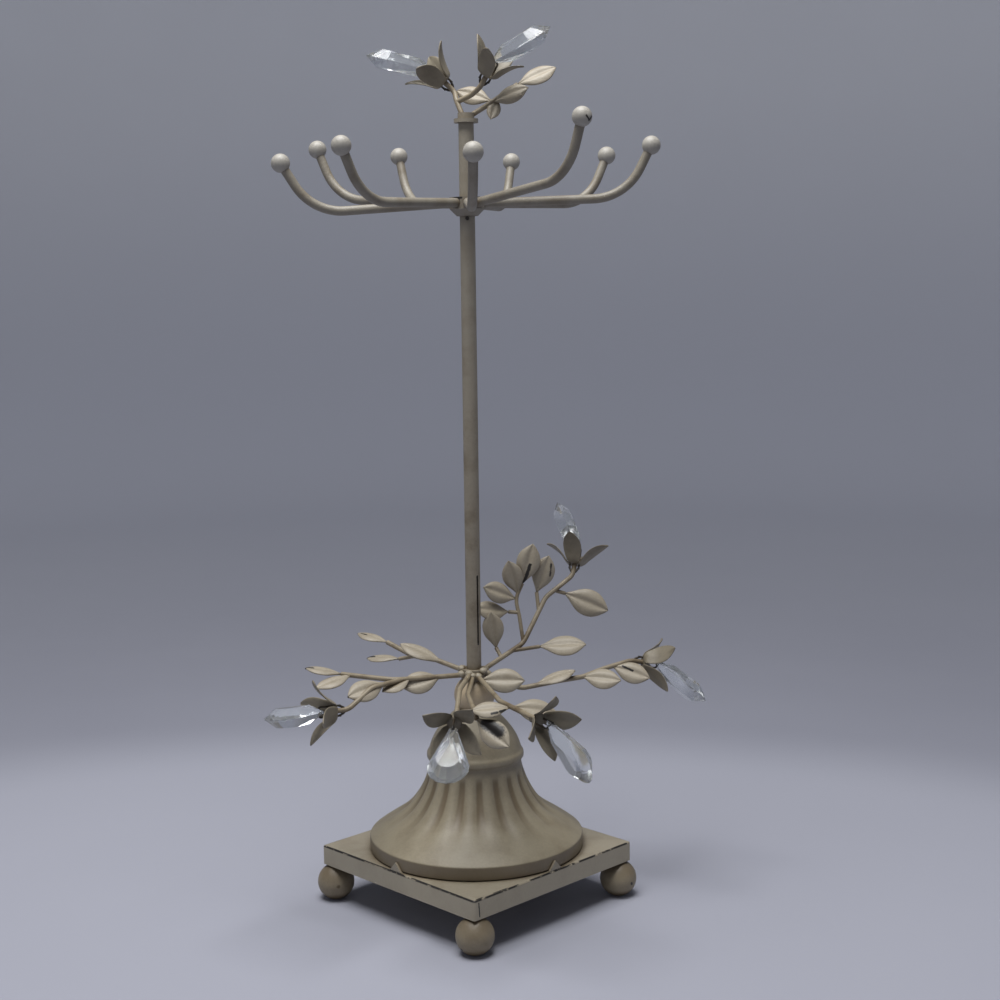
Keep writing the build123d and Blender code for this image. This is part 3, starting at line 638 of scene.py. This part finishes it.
bpy.ops.object.select_all(action="DESELECT")
button_radius = flower_base_radius / 1000
bpy.ops.mesh.primitive_uv_sphere_add(segments=24, ring_count=12, radius=button_radius, location=(0, 0, 0))
button = bpy.context.object
bpy.ops.object.mode_set(mode="EDIT")
bpy.ops.mesh.select_all(action="SELECT")
bpy.ops.transform.resize(value=(1, 1, button_flatness), center_override=(0, 0, 0))
bpy.ops.transform.translate(value=(0, 0, cup_floor / 1000))
bpy.ops.object.mode_set(mode="OBJECT")
bpy.ops.object.shade_smooth()
petal_finish = painted("petal_paint", 0.5, 0.8, 0.2, paint=petal_brown, wax=petal_wax)
bpy.ops.object.select_all(action="DESELECT")
bpy.ops.mesh.primitive_torus_add(
    major_radius=bail_half_width,
    minor_radius=bail_wire_radius,
    major_segments=24,
    minor_segments=8,
    rotation=(math.pi / 2, 0, 0),
)
loop = bpy.context.object
bpy.ops.object.transform_apply(rotation=True)
bpy.ops.object.mode_set(mode="EDIT")
bpy.ops.mesh.select_all(action="SELECT")
bpy.ops.mesh.bisect(plane_co=(0, 0, 0), plane_no=(0, 0, 1), use_fill=True, clear_outer=True)
bpy.ops.mesh.select_all(action="SELECT")
bpy.ops.transform.resize(value=(1, 1, bail_stretch), center_override=(0, 0, 0))
bpy.ops.object.mode_set(mode="OBJECT")
bpy.ops.object.shade_smooth()
loops = []
for name, (base, (azimuth, elevation), opening, petal_turn, lean, way, turn) in flowers.items():
    cup = cup_place(base, azimuth, elevation, lean, way, turn)
    loops.append(copy_of(loop, "loop", cup))
    twins = [copy_of(button, "button", cup)]
    petal = bent_petal(opening)
    for quarter in range(4):
        quarter_turn = Matrix.Rotation(math.radians(45 + 90 * quarter + petal_turn), 4, "Z")
        twins.append(copy_of(petal, "petal", cup @ quarter_turn))
    bpy.data.objects.remove(petal)
    flower = join(twins, "sheet_flower_" + name)
    flower.data.materials.append(petal_finish)
    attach(flower, "stand")
    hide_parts("flower_" + name)
bpy.data.objects.remove(button)
bpy.data.objects.remove(loop)
tie = join(loops, "bail_loops")
tie.data.materials.append(bail_finish)
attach(tie, "stand")

# Drops: clear pressed glass cut as flat pears, with a table on each side and a ring of facets round it. Each
# hangs by a hole on a bail of dark wire whose ends are pushed through its flower.
glass = bpy.data.materials.new("clear_glass")
glass.use_nodes = True
shader = glass.node_tree.nodes["Principled BSDF"]
shader.inputs["Base Color"].default_value = (0.84, 0.87, 0.89, 1)
shader.inputs["Roughness"].default_value = 0.13
shader.inputs["IOR"].default_value = 1.49
shader.inputs["Transmission Weight"].default_value = 0.93
for name in flowers:
    dress("crystal_" + name, glass)

# Floor and backdrop: one round sheet of grey paper that lies on the table and turns up all round, a good way
# off. Its tones are painted light: a painted pool of light round the stand, greyer a little further out, and
# painted paler again far off and where it rises, against the fall of the lamp's light.
paper_radius = 2.4
paper_border = 1.1
paper_rise = 1.5
paper_bend = 0.9
rim_from = 2.3
bpy.ops.object.select_all(action="DESELECT")
bpy.ops.mesh.primitive_circle_add(vertices=96, radius=paper_radius, fill_type="NGON", location=(0, 0, 0))
paper = bpy.context.object
paper.name = "paper_sweep"
bpy.ops.object.mode_set(mode="EDIT")
bpy.ops.mesh.select_all(action="SELECT")
bpy.ops.mesh.inset(thickness=paper_border)
pick(lambda co: co.xy.length > rim_from)
bpy.ops.mesh.extrude_edges_move(TRANSFORM_OT_translate={"value": (0, 0, paper_rise)})
pick(lambda co: co.xy.length > rim_from and co.z < 0.01)
bpy.ops.mesh.bevel(offset=paper_bend, segments=16, affect="EDGES")
bpy.ops.mesh.select_all(action="SELECT")
bpy.ops.mesh.normals_make_consistent(inside=True)
bpy.ops.object.mode_set(mode="OBJECT")
bpy.ops.object.shade_smooth()
paper_finish = bpy.data.materials.new("pale_paper")
paper_finish.use_nodes = True
tree = paper_finish.node_tree
shader = tree.nodes["Principled BSDF"]
place = put(tree, "TexCoord").outputs["Object"]
across = put(tree, "Mapping", {"Vector": place, "Rotation": (0, 0, math.radians(7))}).outputs[0]
oval = put(tree, "VectorMath", {0: across, 1: (0.6, 1, 1)}, operation="MULTIPLY").outputs[0]
near = put(tree, "VectorMath", {0: oval}, operation="LENGTH").outputs["Value"]
away = put(tree, "VectorMath", {0: place}, operation="LENGTH").outputs["Value"]
height = put(tree, "SeparateXYZ", {0: place}).outputs["Z"]
# Painted light: these tones are a painted pool of light round the stand and painted brightening far off and
# up the wall, set against the fall of the lamp's light; only the fibre is the paper's own.
painted_pool_of_light = (0.345, 0.353, 0.415, 1)
painted_dim_ring = (0.243, 0.250, 0.302, 1)
painted_far_light = (0.54, 0.56, 0.65, 1)
painted_wall_light = (0.92, 0.94, 1.0, 1)
fibre_grey = (0.5, 0.5, 0.55, 1)
tone = mix(tree, ramp(tree, near, 0.24, 0.37), painted_pool_of_light, painted_dim_ring)
tone = mix(tree, ramp(tree, away, 0.5, 2.0), tone, painted_far_light)
tone = mix(tree, ramp(tree, height, 0.1, 1.0), tone, painted_wall_light)
fibre = put(tree, "TexNoise", {"Vector": place, "Scale": 6, "Detail": 3}).outputs[0]
tone = mix(tree, math_node(tree, "MULTIPLY", fibre, 0.1), tone, fibre_grey)
tree.links.new(tone, shader.inputs["Base Color"])
shader.inputs["Roughness"].default_value = 0.75
paper.data.materials.append(paper_finish)

# Light: one broad lamp above and a little in front, and a far weaker one from the front left. Both hang in a
# dim room and point a little below the middle of the stand.
lamp_aim = Vector((0, 0, 0.2))
lamp_width = 0.8
for name, place, power in (
    ("overhead", (-0.12, -0.18, 1.35), 21.0),
    ("front_left", (-0.7, -1.3, 0.9), 1.0),
):
    lamp = bpy.data.lights.new(name, "AREA")
    lamp.size = lamp_width
    lamp.energy = power
    holder = bpy.data.objects.new(name, lamp)
    bpy.context.scene.collection.objects.link(holder)
    holder.location = place
    holder.rotation_euler = (lamp_aim - Vector(place)).to_track_quat("-Z", "Y").to_euler()
room = bpy.data.worlds.new("room")
room.use_nodes = True
room.node_tree.nodes["Background"].inputs["Color"].default_value = (0.46, 0.47, 0.50, 1)
room.node_tree.nodes["Background"].inputs["Strength"].default_value = 0.2
bpy.context.scene.world = room

# Camera: in front of the stand and nearly three quarters of the way up it, looking slightly down. Its place,
# its turns and its lens were fitted to the photograph.
camera_turn = math.radians(0.097)
camera_down = math.radians(7.686)
camera_roll = math.radians(-0.712)
lens = bpy.data.cameras.new("camera")
lens.sensor_width = 36
lens.lens = 58.0
eye = bpy.data.objects.new("camera", lens)
bpy.context.scene.collection.objects.link(eye)
eye.location = (0.01662, -0.85271, 0.33533)
eye.rotation_mode = "QUATERNION"
look = Quaternion((0, 0, 1), camera_turn) @ Quaternion((1, 0, 0), math.pi / 2 - camera_down)
eye.rotation_quaternion = look @ Quaternion((0, 0, 1), camera_roll)
bpy.context.scene.camera = eye
